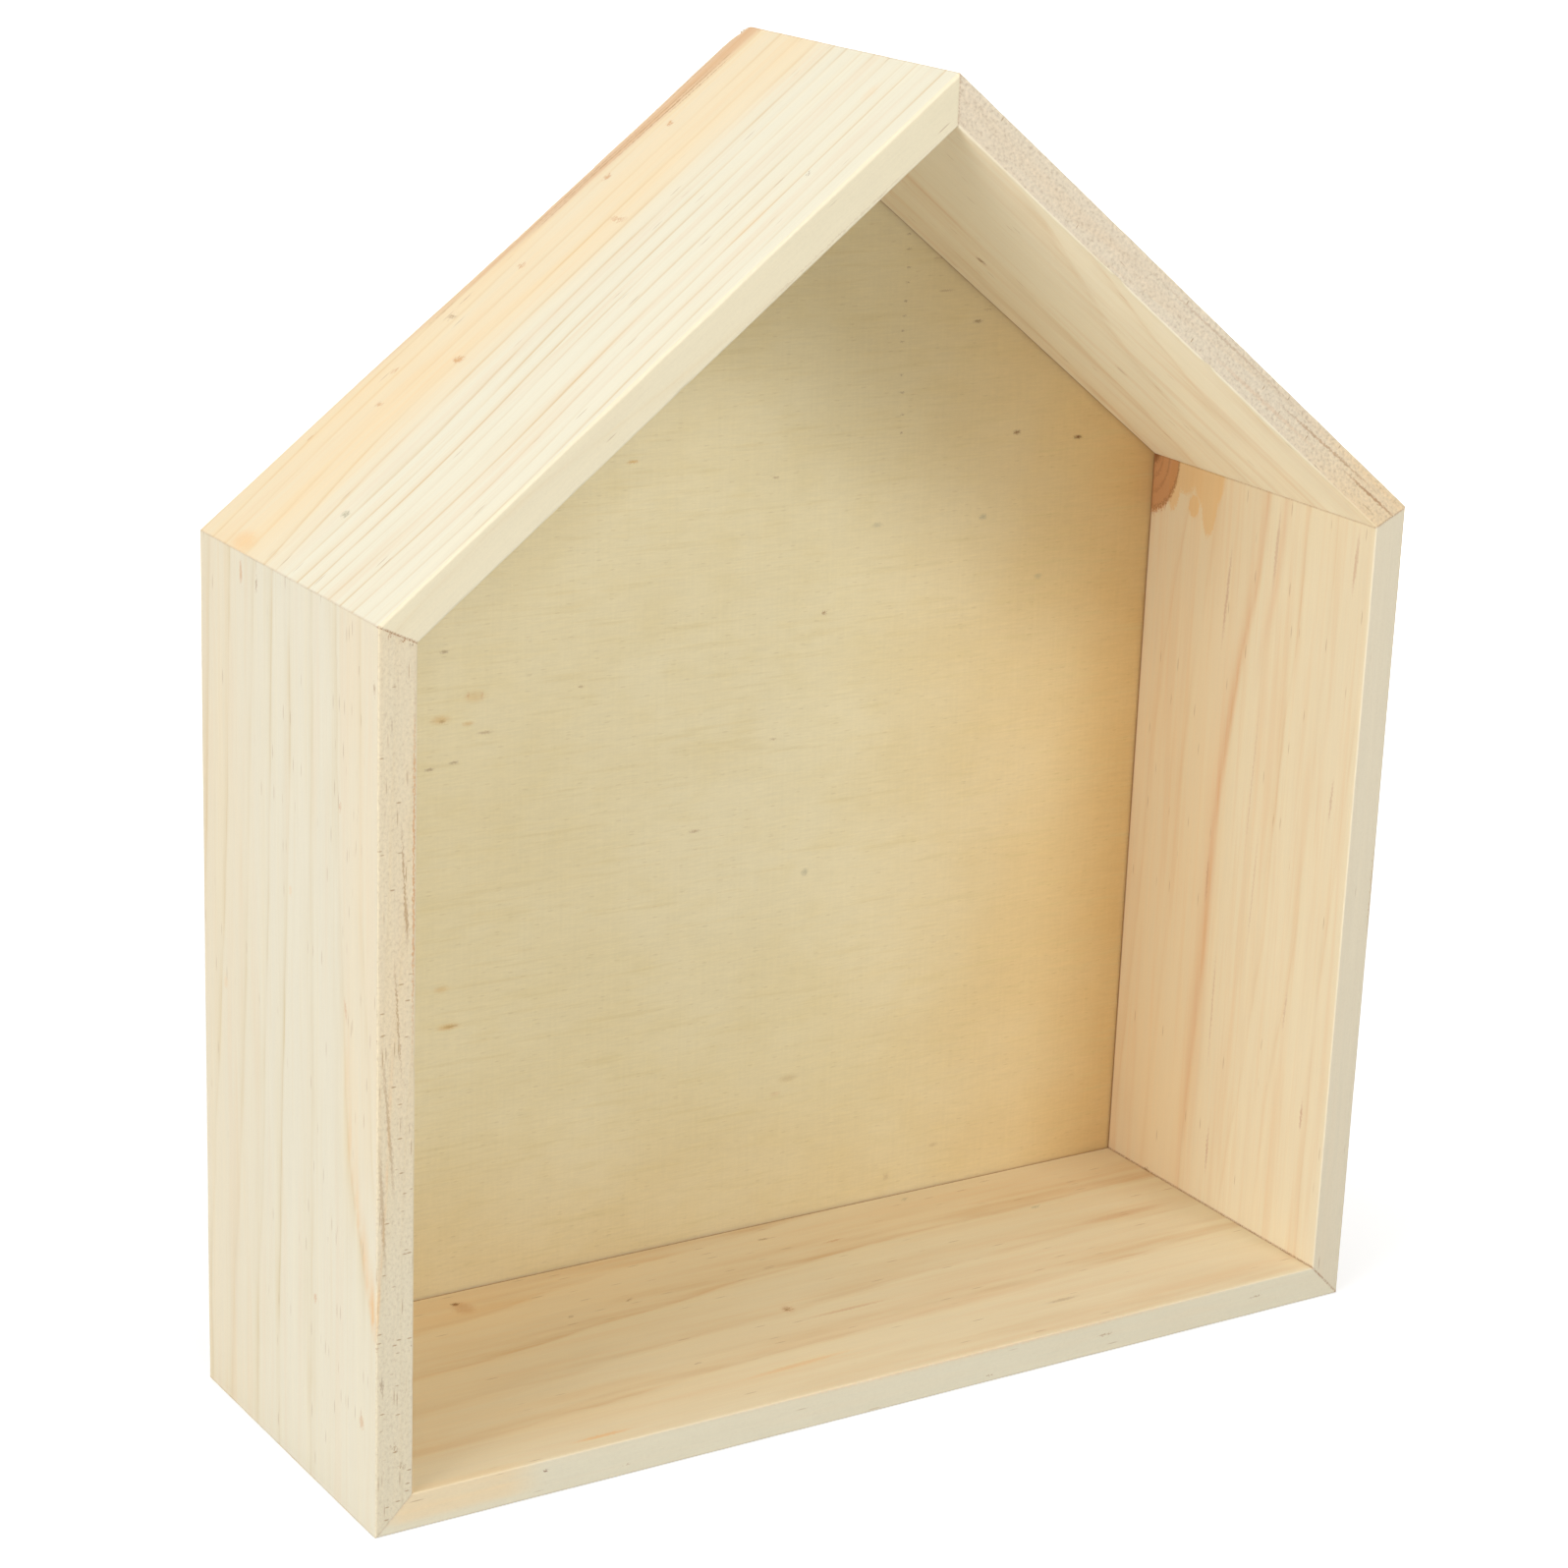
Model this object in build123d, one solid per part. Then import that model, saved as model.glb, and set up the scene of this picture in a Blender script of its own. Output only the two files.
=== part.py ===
from build123d import *
import math
import os

# House-shaped wall shelf: five mitred pine boards round a thin plywood back.
# X runs across the front, +Y points to the wall, +Z is up, and the origin is
# the middle of the underside. All sizes are in millimetres.

# Overall size
overall_width = 300.0
overall_depth = 100.0
eave_height = 228.0
ridge_height = 346.0

# Boards and back panel
board_thickness = 10.0
outer_arris = 1.3  # rounding sanded on the long outer edges
inner_arris = 0.9  # rounding on the long front edge inside the mouth
panel_thickness = 2.5
panel_lap = 5.0  # how far the panel laps onto each board
panel_clearance = 0.4  # gap round the panel inside its rebate
ledge_chamfer = 0.4  # broken edge of the rebate, seen as a dark line inside

# Wire staples that hold the panel to the boards
panel_staple_crown = 10.0
panel_staple_leg = 12.0
panel_staple_wire = 0.65
panel_staple_breadth = 0.95
panel_staple_spacing = 75.0
panel_staple_end_gap = 24.0  # way from a mitre to the middle of the last staple
panel_staple_hanger_gap = 4.0  # room between a staple's crown and the hanger

# Wire staples across the mitres, in the back edge
corner_staple_crown = 5.8
corner_staple_leg = 16.0
corner_staple_wire = 1.0
corner_staple_breadth = 1.2
corner_staple_edge = 0.6  # wood left between the crown and the rebate

staple_sink = 0.2  # every crown ends this far below the surface
staple_point = 1.5  # height of the chisel point on each leg

# Sawtooth hanger on the back of the ridge
hanger_length = 46.0
hanger_height = 9.0
hanger_gauge = 0.8
hanger_raise = 1.6  # room for a wall nail's head behind the teeth
hanger_tab = 9.0  # flat part at each end
hanger_ramp = 2.0  # run of each bend up to the raised middle
hanger_bend = 0.6
hanger_corner = 2.2  # rounding of the strip's four corners
tooth_pitch = 2.2
tooth_depth = 1.5
tooth_flat = 0.2  # blunt tip left on each tooth

# Nails that hold the hanger, through the panel's lap into the roof boards
hanger_nail_radius = 0.7
hanger_nail_length = 12.0
hanger_nail_point = 2.0
hanger_nail_head_radius = 1.7
hanger_nail_head = 0.5
hanger_nail_play = 0.2  # radial play of the nail in the hanger's hole

margin = 2.0  # how far cutting tools run past what they cut
tiny = 1e-6  # two places nearer than this are the same

front = -overall_depth / 2
back = overall_depth / 2
panel_face = back - panel_thickness
rim = board_thickness - panel_lap  # wood outside the rebate
lap_middle = rim + panel_clearance + (panel_lap - panel_clearance) / 2
roof_slope = math.atan2(ridge_height - eave_height, overall_width / 2)

# The outline seen from the front, anticlockwise from the lower left corner.
# Side i runs from corner i to corner i + 1.
corners = [
    Vector(-overall_width / 2, 0, 0),
    Vector(overall_width / 2, 0, 0),
    Vector(overall_width / 2, 0, eave_height),
    Vector(0, 0, ridge_height),
    Vector(-overall_width / 2, 0, eave_height),
]
side_names = ["floor_board", "right_wall", "right_roof", "left_roof", "left_wall"]
ridge = 3
depthwise = Vector(0, 1, 0)


def corner_point(corner):
    """A corner of the outline, counted round and round."""
    return corners[corner % len(corners)]


def along(side):
    """Unit vector along a side of the outline."""
    return (corner_point(side + 1) - corner_point(side)).normalized()


def inward(side):
    """Unit vector from a side's outer face into its board."""
    return along(side).cross(depthwise)


def inset_corner(corner, inset):
    """Where the mitre at a corner is this far inside both outer faces."""
    normals = inward(corner - 1) + inward(corner)
    spread = 1 + inward(corner - 1).dot(inward(corner))
    return corner_point(corner) + normals * (inset / spread)


def mitre_half_angle(corner):
    """Angle between the mitre at a corner and either outer face, in radians."""
    turn = math.radians(along(corner - 1).get_angle(along(corner)))
    return (math.pi - turn) / 2


def prism(outline, start, end):
    """Solid between two depths with this outline, a list of points in XZ."""
    points = [Vector(p.X, start, p.Z) for p in outline]
    face = make_face(Polyline(*points, close=True))
    return extrude(face, amount=end - start, dir=(0, 1, 0))


def corner_of(section, x, y):
    """The section's vertex at this place."""
    return [v for v in section.vertices() if abs(v.X - x) < tiny and abs(v.Y - y) < tiny]


def board_section():
    """Cross-section of every board: X is depth, Y is inward from its face."""
    points = [
        (front, 0),
        (back, 0),
        (back, rim),
        (panel_face, rim),
        (panel_face, board_thickness),
        (front, board_thickness),
    ]
    section = make_face(Polyline(*points, close=True))
    section = fillet(corner_of(section, front, 0), outer_arris)
    section = fillet(corner_of(section, back, 0), outer_arris)
    section = fillet(corner_of(section, front, board_thickness), inner_arris)
    return chamfer(corner_of(section, panel_face, board_thickness), ledge_chamfer)


def board(side):
    """One board, cut to its two mitres."""
    start = corner_point(side)
    end = corner_point(side + 1)
    overrun = board_thickness + margin
    length = (end - start).length + 2 * overrun
    plane = Plane(origin=start - along(side) * overrun, x_dir=depthwise, z_dir=along(side))
    stick = extrude(plane * board_section(), amount=length, dir=along(side))
    wedge = [
        inset_corner(side, -margin),
        inset_corner(side + 1, -margin),
        inset_corner(side + 1, board_thickness + margin),
        inset_corner(side, board_thickness + margin),
    ]
    return stick & prism(wedge, front - margin, back + margin)


def back_panel():
    """The plywood back, which lies in the rebate with its rear face flush."""
    inset = rim + panel_clearance
    outline = [inset_corner(i, inset) for i in range(len(corners))]
    return prism(outline, panel_face, back)


def staple(crown, leg, wire, breadth, crown_room=0.0):
    """A staple about the origin: crown along X, legs towards -Y, top at Y 0.
    crown_room raises the crown's outer face, which makes the cutting tool."""
    half = crown / 2
    points = [
        (-half, crown_room),
        (half, crown_room),
        (half, staple_point - leg),
        (half - wire, -leg),
        (half - wire, -wire),
        (wire - half, -wire),
        (wire - half, -leg),
        (-half, staple_point - leg),
    ]
    face = make_face(Polyline(*points, close=True))
    return extrude(face, amount=breadth / 2, both=True)


def placed(shape, origin, crown_direction):
    """A staple or its tool moved to a point of the back, crown along a line."""
    plane = Plane(
        origin=origin,
        x_dir=crown_direction,
        z_dir=crown_direction.cross(depthwise),
    )
    return plane * shape


def panel_staple_gap(corner):
    """Way from a mitre to the middle of the nearest staple, clear of the hanger."""
    if corner % len(corners) != ridge:
        return panel_staple_end_gap
    hanger_end = hanger_length / 2 / math.cos(roof_slope)
    beside_hanger = hanger_end + panel_staple_hanger_gap + panel_staple_crown / 2
    return max(panel_staple_end_gap, beside_hanger)


def panel_staple_places():
    """Middle of each panel staple's crown, with its direction."""
    places = []
    for side in range(len(corners)):
        start = inset_corner(side, lap_middle)
        length = (inset_corner(side + 1, lap_middle) - start).length
        first = panel_staple_gap(side)
        run = length - first - panel_staple_gap(side + 1)
        count = max(2, round(run / panel_staple_spacing) + 1)
        for k in range(count):
            point = start + along(side) * (first + run * k / (count - 1))
            places.append((Vector(point.X, back - staple_sink, point.Z), along(side)))
    return places


def corner_staple_places():
    """Middle of each corner staple's crown, square across its mitre."""
    places = []
    for corner in range(len(corners)):
        across = (along(corner - 1) + along(corner)).normalized()
        half_breadth = corner_staple_breadth / 2 * math.sin(mitre_half_angle(corner))
        point = inset_corner(corner, rim - corner_staple_edge - half_breadth)
        places.append((Vector(point.X, back - staple_sink, point.Z), across))
    return places


def staples(places, crown, leg, wire, breadth):
    """The staples at these places, and the tools that cut room for them."""
    one = staple(crown, leg, wire, breadth)
    tool = staple(crown, leg, wire, breadth, crown_room=staple_sink + margin)
    made = [placed(one, *place) for place in places]
    tools = [placed(tool, *place) for place in places]
    return made, tools


def hanger_nail_places():
    """Where the two nails go, in the middle of the panel's lap on the roof."""
    across = hanger_length / 2 - hanger_tab / 2
    drop = across * math.tan(roof_slope) + lap_middle / math.cos(roof_slope)
    return [Vector(x, back, ridge_height - drop) for x in (-across, across)]


def hanger_strip(low):
    """The hanger before its teeth and holes, with its lower edge at this height."""
    end = hanger_length / 2
    tab = end - hanger_tab
    flat = tab - hanger_ramp
    raised = back + hanger_raise
    path = [(-end, back), (-tab, back), (-flat, raised), (flat, raised), (tab, back), (end, back)]
    outside = [(x, y + hanger_gauge) for x, y in reversed(path)]
    face = make_face(Polyline(*path, *outside, close=True))
    strip = Pos(0, 0, low) * extrude(face, amount=hanger_height)
    bends = [e for e in strip.edges().filter_by(Axis.Z) if abs(e.center().X) < end - tiny]
    strip = fillet(bends, hanger_bend)
    ends = [e for e in strip.edges().filter_by(Axis.Y) if abs(e.center().X) > end - tiny]
    return fillet(ends, hanger_corner)


def tooth_notches(low):
    """Tools that cut the V notches in the raised part of the hanger's lower edge."""
    toothed = hanger_length - 2 * (hanger_tab + hanger_ramp)
    count = int(toothed / tooth_pitch) - 1
    half_mouth = (tooth_pitch - tooth_flat) / 2
    spread = half_mouth * (tooth_depth + margin) / tooth_depth
    notches = []
    for k in range(count):
        x = (k - (count - 1) / 2) * tooth_pitch
        notch = [
            Vector(x - spread, 0, low - margin),
            Vector(x + spread, 0, low - margin),
            Vector(x, 0, low + tooth_depth),
        ]
        notches.append(prism(notch, back, back + hanger_raise + hanger_gauge + margin))
    return notches


def hanger():
    """A strip with its middle raised off the back and teeth along its lower edge."""
    places = hanger_nail_places()
    low = places[0].Z - hanger_height / 2
    strip = hanger_strip(low)
    for notch in tooth_notches(low):
        strip -= notch
    hole = Cylinder(hanger_nail_radius + hanger_nail_play, hanger_gauge + 2 * margin)
    for place in places:
        strip -= Pos(place) * Rot(X=90) * hole
    return strip


def nail():
    """A nail about the origin: shank towards -Y, with the head's underside at Y 0."""
    shank_length = hanger_nail_length - hanger_nail_point
    profile = [
        (0, hanger_nail_head),
        (hanger_nail_head_radius, hanger_nail_head),
        (hanger_nail_head_radius, 0),
        (hanger_nail_radius, 0),
        (hanger_nail_radius, -shank_length),
        (0, -hanger_nail_length),
    ]
    return revolve(make_face(Polyline(*profile, close=True)), Axis.Y)


def build():
    """Every sub-part by name."""
    parts = {name: board(side) for side, name in enumerate(side_names)}
    parts["back_panel"] = back_panel()

    panel_staples, panel_tools = staples(
        panel_staple_places(),
        panel_staple_crown,
        panel_staple_leg,
        panel_staple_wire,
        panel_staple_breadth,
    )
    corner_staples, corner_tools = staples(
        corner_staple_places(),
        corner_staple_crown,
        corner_staple_leg,
        corner_staple_wire,
        corner_staple_breadth,
    )
    nails = [
        Pos(place + depthwise * hanger_gauge) * nail() for place in hanger_nail_places()
    ]
    for name in [*side_names, "back_panel"]:
        for tool in [*panel_tools, *corner_tools, *nails]:
            if (parts[name] & tool) is not None:
                parts[name] -= tool
    parts["panel_staples"] = Compound(children=panel_staples)
    parts["corner_staples"] = Compound(children=corner_staples)
    parts["ridge_hanger"] = hanger()
    parts["hanger_nails"] = Compound(children=nails)
    return parts


def main():
    os.makedirs("parts", exist_ok=True)
    for name, shape in build().items():
        export_step(shape, f"parts/{name}.step")
        print(name, "solids", len(shape.solids()), "volume", round(shape.volume, 1))


main()
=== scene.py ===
import math

import bpy
import numpy as np
from mathutils import Matrix, Vector


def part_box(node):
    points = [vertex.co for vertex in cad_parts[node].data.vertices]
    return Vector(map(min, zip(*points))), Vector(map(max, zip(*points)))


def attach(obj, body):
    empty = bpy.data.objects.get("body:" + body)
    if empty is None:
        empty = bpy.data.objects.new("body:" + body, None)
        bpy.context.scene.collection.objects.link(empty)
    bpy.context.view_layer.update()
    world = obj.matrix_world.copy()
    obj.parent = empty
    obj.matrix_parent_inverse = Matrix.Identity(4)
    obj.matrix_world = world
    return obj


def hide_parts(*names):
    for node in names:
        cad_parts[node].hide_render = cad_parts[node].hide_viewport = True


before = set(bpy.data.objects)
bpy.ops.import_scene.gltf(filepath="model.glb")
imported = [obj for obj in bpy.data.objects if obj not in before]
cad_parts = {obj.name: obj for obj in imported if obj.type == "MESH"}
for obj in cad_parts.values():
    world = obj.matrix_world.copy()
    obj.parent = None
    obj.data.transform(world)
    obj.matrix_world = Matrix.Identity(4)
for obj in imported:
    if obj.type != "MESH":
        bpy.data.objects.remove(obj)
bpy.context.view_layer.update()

# A house-shaped wall shelf of bare pine. The boards are rebuilt here as fine
# meshes on the CAD boards' own faces; the plywood back, the staples and the
# hanger keep their CAD shape. Lengths are metres in the scene and millimetres
# in a board's own coordinates: along it, in from the front, in from outside.
MM = 0.001

# Sizes read from the frame
floor_low, floor_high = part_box("floor_board")
panel_low, panel_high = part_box("back_panel")
front = floor_low.y
depth = (floor_high.y - floor_low.y) / MM
thickness = (floor_high.z - floor_low.z) / MM
panel_thickness = (panel_high.y - panel_low.y) / MM
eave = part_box("left_wall")[1].z
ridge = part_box("left_roof")[1].z

# Sizes of the section that the boxes don't give, in millimetres
panel_clearance = 0.4
outer_arris = 1.3
ledge_chamfer = 0.4
rim = (panel_low.x - floor_low.x) / MM - panel_clearance

corners = [
    Vector((floor_low.x, 0, floor_low.z)),
    Vector((floor_high.x, 0, floor_low.z)),
    Vector((floor_high.x, 0, eave)),
    Vector((0, 0, ridge)),
    Vector((floor_low.x, 0, eave)),
]
side_names = ["floor_board", "right_wall", "right_roof", "left_roof", "left_wall"]


def linear(red, green, blue):
    """A colour written as 0 to 255, as the shader's own linear numbers."""
    parts = [c / 255 for c in (red, green, blue)]
    parts = [c / 12.92 if c <= 0.04045 else ((c + 0.055) / 1.055) ** 2.4 for c in parts]
    return (*parts, 1.0)


# Repeatable noise for the meshes


def lattice(x, y, z, seed):
    """A repeatable value from 0 to 1 for each whole-number point."""
    mask = np.int64(0xFFFFFFFF)
    n = (x * 374761393 + y * 668265263 + z * 2147483647 + seed * 1274126177) & mask
    n = ((n ^ (n >> 13)) * 1274126177) & mask
    return ((n ^ (n >> 16)) & 0xFFFF) / 65535.0


def noise(x, y, z, seed):
    """Smooth noise from -1 to 1, with features one unit across."""
    x, y, z = np.broadcast_arrays(x, y, z)
    whole = [np.floor(c).astype(np.int64) for c in (x, y, z)]
    part = [c - w for c, w in zip((x, y, z), whole)]
    ease = [p * p * (3 - 2 * p) for p in part]
    total = 0.0
    for i in (0, 1):
        for j in (0, 1):
            for k in (0, 1):
                weight = 1.0
                for side, e in zip((i, j, k), ease):
                    weight = weight * (e if side else 1 - e)
                total = total + weight * lattice(whole[0] + i, whole[1] + j, whole[2] + k, seed)
    return 2 * total - 1


def step(value, low, high):
    """0 below low, 1 above high and smooth between."""
    t = np.clip((value - low) / (high - low), 0, 1)
    return t * t * (3 - 2 * t)


def through(u, places, values):
    """A smooth curve through given points, level beyond its ends."""
    places = np.asarray(places, float)
    values = np.asarray(values, float)
    slopes = np.gradient(values, places) if len(places) > 1 else np.zeros(1)
    u = np.clip(u, places[0], places[-1])
    k = np.clip(np.searchsorted(places, u, side="right") - 1, 0, len(places) - 2)
    run = places[k + 1] - places[k]
    t = (u - places[k]) / run
    start = values[k] * (1 + 2 * t) * (1 - t) ** 2 + slopes[k] * run * t * (1 - t) ** 2
    end = values[k + 1] * t * t * (3 - 2 * t) + slopes[k + 1] * run * t * t * (t - 1)
    return start + end


def hump(distance, width):
    """1 at no distance, fading smoothly over about the width."""
    return np.exp(-((distance / width) ** 2))


# The boards' looks. Lines are latewood lines, each given by its distance from
# the front at a few places along the board, on the face that shows.


class Look:
    """What sets one board apart from the next. Each board overrides some of it."""

    shown_face = "outer"
    places = (0, 1)
    lines = ((10, 10), (20, 20), (30, 30))
    spacing = 12
    tilt_places = (0, 1)
    tilts = (2.5, 2.5)
    profile = ((0.0, 0.5), (0.03, 1.0), (0.09, 0.6), (0.2, 0.25), (0.5, 0.06), (0.94, 0.0), (1.0, 0.5))
    line_strength = 0.5
    waver = 0.08
    streaks = 0.3
    bands = 0.3
    wood = (238, 225, 190)
    edge_wood = (226, 214, 188)
    late = (214, 176, 116)
    ruddy = (218, 156, 100)
    knots = ()
    # Marks on the shown face and on the front edge: along the board, in from the
    # front (on the edge: in from outside), length, breadth, turn, tint, strength
    shown_marks = ()
    front_marks = ()
    # Rings of a knot: along, in from the front, length, breadth, line, tint, strength
    loops = ()
    sawn = 0.0
    edge_rough = 0.1
    torn = 0.3
    gap = 0.01
    chipped = 0.25
    ridge_wear = 0.0
    outer_round = 0.9
    mouth_round = 0.5
    seed = 0

    def back_arris(self, u):
        return outer_arris

    def across(self, u, v, w):
        """Distance from the front on the shown face of the fibre through a point."""
        sunk = w if self.shown_face == "outer" else thickness - w
        slant = through(u, self.tilt_places, self.tilts)
        across = v + slant * sunk * (1 - step(v, 10, 60) * 0.7)
        for at_u, at_v, size in self.knots:
            reach = hump((u - at_u) / (3.2 * size), 1) * hump((v - at_v) / (1.9 * size), 1)
            across = across - 0.9 * (v - at_v) * reach
        return across

    def ring(self, u, v, w):
        """How many latewood lines lie between the front and a point."""
        across = self.across(u, v, w)
        lines = [through(u, self.places, line) for line in self.lines]
        count = np.minimum(0, (across - lines[0]) / self.spacing)
        for near, far in zip(lines, lines[1:]):
            count = count + np.clip((across - near) / (far - near), 0, 1)
        count = count + np.maximum(0, (across - lines[-1]) / self.spacing)
        return count

    def warmth_and_depth_shade(self, u, v, w):
        return 0.0

    def blush(self, u, v, w):
        return 0.0

    def ticks(self, u, v, w):
        """The share of a sawn edge's cells that show a short cut across the edge."""
        return 0.0

    def resin(self, u, v, w):
        """The share of the wood's cells that show a short dark resin dash."""
        return 0.06

    def figure(self, u, v, w):
        """How strongly the latewood lines show."""
        return 1.0

    def stain(self, u, v, w):
        """How dark the glue line and torn fibres at the mitres are."""
        return 0.3


class FloorBoard(Look):
    shown_face = "inner"
    places = (0, 40, 100, 150, 200, 250, 300)
    lines = (
        (15, 17.5, 22, 25.5, 28.5, 31, 32),
        (34, 35.5, 41.5, 45, 48, 50, 51),
        (51, 54, 61, 68, 71.5, 73, 74),
        (74, 77, 87, 92, 98, 102, 104),
    )
    spacing = 30
    tilts = (1.5, 1.5)
    profile = ((0.0, 0.5), (0.03, 1.0), (0.1, 0.8), (0.35, 0.5), (0.62, 0.2), (0.95, 0.05), (1.0, 0.5))
    line_strength = 0.6
    waver = 0.12
    streaks = 0.13
    bands = 0.24
    wood = (236, 222, 191)
    edge_wood = (226, 219, 195)
    late = (214, 178, 132)
    knots = ((67, 89, 4.5), (145, 46, 2.6))
    seed = 3
    shown_marks = (
        (67, 90, 3, 2.4, 10, "knot", 1),
        (68, 87, 8, 10, 0, "rust", 0.45),
        (145, 46, 1.8, 3.4, 0, "resin", 0.7),
        (145, 46, 5, 6.5, 0, "rust", 0.35),
        (245, 71, 4, 1.8, 20, "grey", 0.5),
        (214, 93, 4, 1.6, 30, "grey", 0.5),
        (163, 88, 4, 1.4, 0, "resin", 0.6),
        (110, 71, 4.5, 1.2, 30, "resin", 0.6),
        (91, 69, 3, 1.2, 30, "resin", 0.5),
        (180, 78, 9, 1.2, 3, "rust", 0.5),
        (107, 29, 3, 0.9, 0, "resin", 0.4),
        (160, 38.5, 34, 1.8, 0, "rust", 0.35),
        (65, 5, 22, 2.2, 0, "orange", 0.55),
        (130, 16, 44, 2.6, 3, "orange", 0.4),
        (215, 16, 14, 2, 0, "resin", 0.35),
        (265, 55, 40, 5, 0, "rust", 0.3),
        (178, 0.1, 240, 0.8, 0, "orange", 0.3),
    )
    front_marks = (
        (46.5, 7, 1.4, 1, 0, "knot", 0.9),
        (70, 3, 1.6, 0.7, 0, "resin", 0.7),
        (180, 2, 1.8, 0.7, 0, "resin", 0.7),
        (218, 5.5, 7, 0.7, 0, "resin", 0.5),
        (270, 5.5, 5, 0.7, 0, "resin", 0.5),
    )

    def warmth_and_depth_shade(self, u, v, w):
        left = 1 - step(u, 20, 190)
        peach_edge = hump(v, 3) * step(w, 1, 4) * (step(u, 0, 8) - step(u, 34, 48))
        # Past 50 mm from the front the warm tint is painted shade deep in the shelf; the rest is the
        # wood's own warm tone
        return 0.45 * left * step(v, 0, 20) + 0.25 * step(v, 50, 95) + 0.6 * peach_edge

    def resin(self, u, v, w):
        return 0.08 + 0.08 * step(v, 40, 90)

    def figure(self, u, v, w):
        return 0.3 + 0.7 * step(v, 0.2, 1.4)

    def stain(self, u, v, w):
        return 0.2 + 0.5 * step(u, 200, 280)


class RightWall(Look):
    shown_face = "inner"
    places = (0, 20, 60, 90, 130, 170, 200, 228)
    lines = (
        (8, 8, 8, 7.5, 4.5, 1.5, -1, -2),
        (29, 28, 25, 20.5, 18.5, 17, 15.5, 15),
        (43, 42, 37, 33, 31.5, 29.5, 28, 27),
        (63, 62.5, 60, 58, 57, 52, 46.5, 44),
        (80, 80, 78, 76, 75, 72, 68, 66),
    )
    spacing = 14
    tilts = (3.0, 3.0)
    profile = ((0.0, 0.4), (0.025, 0.9), (0.07, 0.5), (0.2, 0.2), (0.6, 0.04), (0.93, 0.05), (1.0, 0.4))
    line_strength = 0.42
    streaks = 0.18
    bands = 0.3
    wood = (236, 223, 195)
    edge_wood = (222, 211, 186)
    late = (219, 180, 134)
    ruddy = (222, 168, 124)
    knots = ((222, 95, 6.0),)
    seed = 7
    shown_marks = (
        (52, 10.5, 12, 1.2, 0, "plum", 0.6),
        (145, 9, 16, 1.2, -3, "plum", 0.4),
        (212, 7, 22, 1.6, -3, "plum", 0.45),
        (27, 50.5, 18, 1.3, 0, "plum", 0.5),
        (70, 53, 44, 1, 0, "plum", 0.35),
        (107, 59.5, 18, 1.2, 0, "plum", 0.5),
        (190, 60, 36, 1.4, -3, "plum", 0.5),
        (208, 40, 30, 1.6, -2, "plum", 0.4),
        (110, 39, 50, 0.9, -2, "plum", 0.25),
        (140, 43, 60, 0.9, -2, "plum", 0.25),
        (80, 21, 16, 1, -3, "plum", 0.35),
        (224, 72, 26, 16, 6, "honey", 0.65),
        (216, 70.5, 24, 7.5, 0, "honey", 0.65),
        (224, 82, 20, 13, 0, "honey", 0.65),
        (218, 86.5, 20, 6, -6, "honey", 0.65),
        (212, 77.5, 7, 5, 0, "honey", 0.7),
        (223, 99, 36, 29, 0, "knot_wood", 0.9),
        (223.5, 97, 8, 8, 0, "knot", 0.9),
        (10, 78, 1.6, 3, 0, "knot", 0.8),
    )
    front_marks = (
        (120, 0.8, 40, 0.7, 0, "resin", 0.5),
    )
    loops = (
        (223, 99, 31, 27, 0.05, "knot", 0.45),
        (223, 99, 22, 18, 0.07, "knot", 0.3),
        (223, 99, 14, 12, 0.09, "knot", 0.3),
    )

    def warmth_and_depth_shade(self, u, v, w):
        # Painted shade: warmer towards the back of the board, deep in the shelf
        return 0.3 * step(v, 45, 70) * (1 - step(u, 120, 210) * 0.4)

    def blush(self, u, v, w):
        line = through(u, self.places, self.lines[3])
        amount = through(u, (0, 30, 90, 160, 200, 228), (0.05, 0.15, 0.4, 0.5, 0.3, 0.3))
        offset = v - line
        strands = hump(offset - 0.6, 1.1) + 0.35 * hump(offset - 2.2, 2.2)
        second = 0.35 * hump(offset + 7.5, 1.4) * step(u, 160, 200)
        return (amount * strands + second + 0.1 * step(v, 48, 60)) * step(w, 6, 9)

    def figure(self, u, v, w):
        return 0.15 + 0.85 * step(v, 0.2, 1.4)

    def stain(self, u, v, w):
        return 0.7 - 0.25 * step(u, 100, 200)


class RightRoof(Look):
    shown_face = "inner"
    places = (0, 30, 60, 90, 120, 150, 190)
    lines = (
        (24, 24, 22, 14, 4, -6, -16),
        (53.5, 50, 45, 34, 18, 4, -6),
        (77, 72, 68, 65.5, 63.5, 60.5, 56),
    )
    spacing = 20
    tilts = (3.0, 3.0)
    profile = ((0.0, 0.5), (0.03, 0.9), (0.1, 0.55), (0.3, 0.2), (0.6, 0.05), (0.93, 0.1), (1.0, 0.5))
    line_strength = 0.5
    streaks = 0.12
    bands = 0.25
    wood = (249, 240, 216)
    edge_wood = (226, 212, 188)
    late = (218, 183, 138)
    knots = ((107, 73, 1.8),)
    sawn = 1.0
    edge_rough = 1.0
    torn = 0.7
    outer_round = 0.5
    mouth_round = 0.6
    chipped = 1.0
    ridge_wear = 1.0
    seed = 13
    shown_marks = (
        (107, 73, 4.5, 3.4, 0, "resin", 0.75),
        (60, 58, 6, 2.4, 0, "resin", 0.3),
    )
    front_marks = (
        (12, 4.6, 36, 1.1, 1, "bark", 0.75),
        (34, 3.4, 60, 1, 1.5, "bark", 0.55),
        (80, 2, 80, 0.8, 1, "bark", 0.35),
        (60, 6.5, 60, 1.6, 1, "rust", 0.2),
    )

    def warmth_and_depth_shade(self, u, v, w):
        on_edge = 1 - step(v, 0.2, 1.2)
        # Deep on the inner face the warm tint is painted shade; on the front edge near the eave it is the
        # wood's own
        return 0.2 * step(v, 55, 95) * step(w, 5, 9) + 0.9 * (1 - step(u, -5, 60)) * on_edge

    def ticks(self, u, v, w):
        return 0.06

    def figure(self, u, v, w):
        return 0.4 + 0.6 * step(v, 0.5, 3)

    def stain(self, u, v, w):
        return 0.5


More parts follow.
